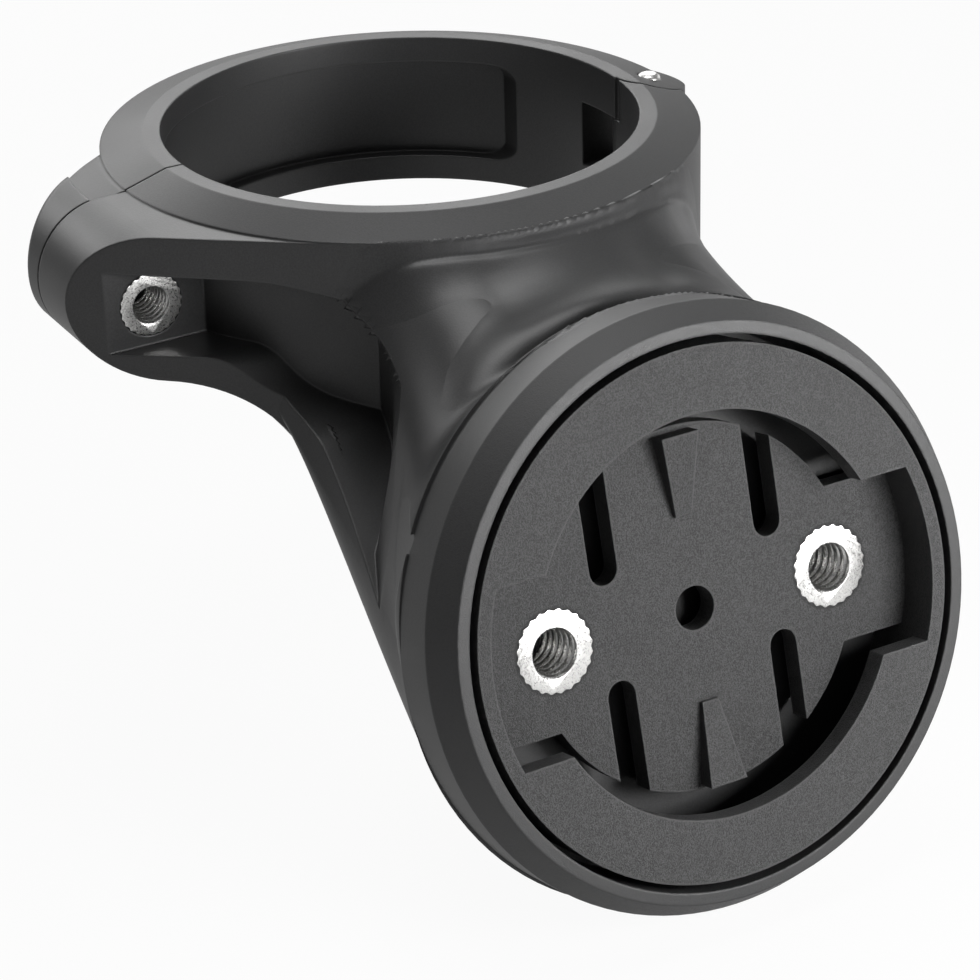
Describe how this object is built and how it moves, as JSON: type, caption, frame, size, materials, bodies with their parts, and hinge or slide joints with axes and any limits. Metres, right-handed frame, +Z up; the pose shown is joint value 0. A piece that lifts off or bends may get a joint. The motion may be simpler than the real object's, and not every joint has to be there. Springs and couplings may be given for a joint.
{
  "type": "seatpost radar mount",
  "caption": "Hinged seatpost clamp with a tilted round head that carries a quarter-turn bayonet base for a rear radar or lamp.",
  "frame": {"origin": "on the clamp bore's axis, at the middle of the ring's height", "axes": "+Z up along the bore, -Y towards the round head, +X towards the hinge, -X towards the screw lugs"},
  "size_m": [0.0493, 0.0655, 0.041],
  "materials": {
    "satin_moulding": "satin black glass-filled nylon",
    "grained_moulding": "fine spark-eroded grain on black nylon",
    "bright_steel": "turned and knurled, bright",
    "dark_screw": "black oxide steel"
  },
  "bodies": {
    "front": {"bracket": "satin_moulding", "clamp_insert": "bright_steel", "bayonet_base": "grained_moulding", "base_insert_left": "bright_steel", "base_insert_right": "bright_steel", "base_screw_left": "dark_screw", "base_screw_right": "dark_screw"},
    "jaw": {"rear_jaw": "satin_moulding", "hinge_pin": "bright_steel"},
    "screw": {"clamp_screw": "dark_screw"}
  },
  "joints": [
    {"name": "jaw_hinge", "type": "hinge", "parent": "front", "child": "jaw", "pos_m": [0.0192, -0.0018, 0], "axis": [0, 0, -1], "range_deg": [0, 95]},
    {"name": "clamp_screw_travel", "type": "slide", "parent": "jaw", "child": "screw", "axis": [0, 1, 0], "range_m": [0, 0.008]}
  ]
}
